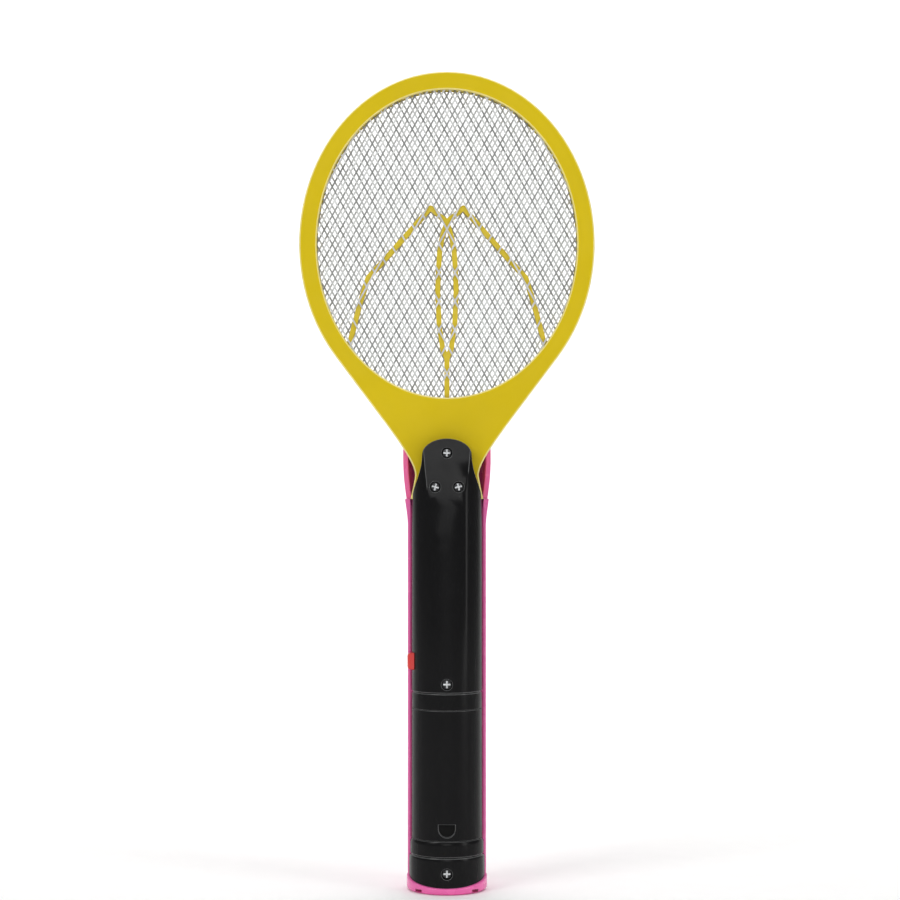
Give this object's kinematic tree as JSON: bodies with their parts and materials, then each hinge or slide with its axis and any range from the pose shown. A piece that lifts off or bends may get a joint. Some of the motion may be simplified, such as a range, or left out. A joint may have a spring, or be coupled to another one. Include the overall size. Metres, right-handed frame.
{
  "type": "electric fly swatter",
  "caption": "Racket-shaped electric fly swatter with an oval wire-grid head and a round two-part battery handle with a side button.",
  "frame": {"origin": "centre of the flat end of the handle", "axes": "+Z along the handle towards the head, -Y out of the screwed side with the battery door, -X on the button's side"},
  "size_m": [0.1824, 0.0496, 0.5045],
  "materials": {
    "yellow_plastic": "satin moulded",
    "yellow_ribs": "satin moulded",
    "grid_metal": "bright sheared sheet",
    "inner_grid_metal": "dull sheared sheet",
    "black_plastic": "gloss moulded",
    "pink_plastic": "gloss moulded",
    "door_plastic": "gloss moulded",
    "red_plastic": "gloss moulded",
    "spring_steel": "bright wire",
    "component_black": "matt moulded",
    "board_green": "solder resist",
    "ferrite": "sintered ferrite",
    "bobbin_plastic": "moulded",
    "copper_winding": "enamelled wire",
    "capacitor_film": "dipped",
    "capacitor_dip": "dipped",
    "resistor_body": "lacquered",
    "tray_plastic": "moulded",
    "cell_jacket": "printed foil",
    "contact_metal": "nickel plated",
    "lead_insulation": "flexible",
    "lead_red": "flexible",
    "screw_metal": "black oxide"
  },
  "bodies": {
    "swatter": {"head_frame_rear": "yellow_plastic", "head_frame_front": "yellow_plastic", "rib_frame_rear": "yellow_ribs", "rib_frame_front": "yellow_ribs", "outer_grid_rear": "grid_metal", "centre_grid": "inner_grid_metal", "outer_grid_front": "grid_metal", "handle_rear_shell": "black_plastic", "handle_front_shell": "pink_plastic", "button_spring": "spring_steel", "switch_body": "component_black", "circuit_board": "board_green", "transformer_core": "ferrite", "transformer_bobbin": "bobbin_plastic", "transformer_coil": "copper_winding", "storage_capacitor": "capacitor_film", "multiplier_capacitors": "capacitor_dip", "rectifier_diodes": "component_black", "transistor": "component_black", "resistors": "resistor_body", "battery_tray": "tray_plastic", "battery_cell_left": "cell_jacket", "battery_cell_right": "cell_jacket", "contact_plates": "contact_metal", "contact_springs": "spring_steel", "supply_leads": "lead_insulation", "centre_grid_lead": "lead_red", "outer_grid_lead": "lead_insulation", "handle_screws": "screw_metal"},
    "button": {"push_button": "red_plastic"},
    "door": {"battery_door": "door_plastic"}
  },
  "joints": [
    {"name": "button_press", "type": "slide", "parent": "swatter", "child": "button", "axis": [1, 0, 0], "range_m": [0, 0.0015], "stiffness_N_per_m": 400, "deforming": ["button_spring"]},
    {"name": "door_lift_off", "type": "slide", "parent": "swatter", "child": "door", "axis": [0, -1, 0], "range_m": [0, 0.04]}
  ]
}
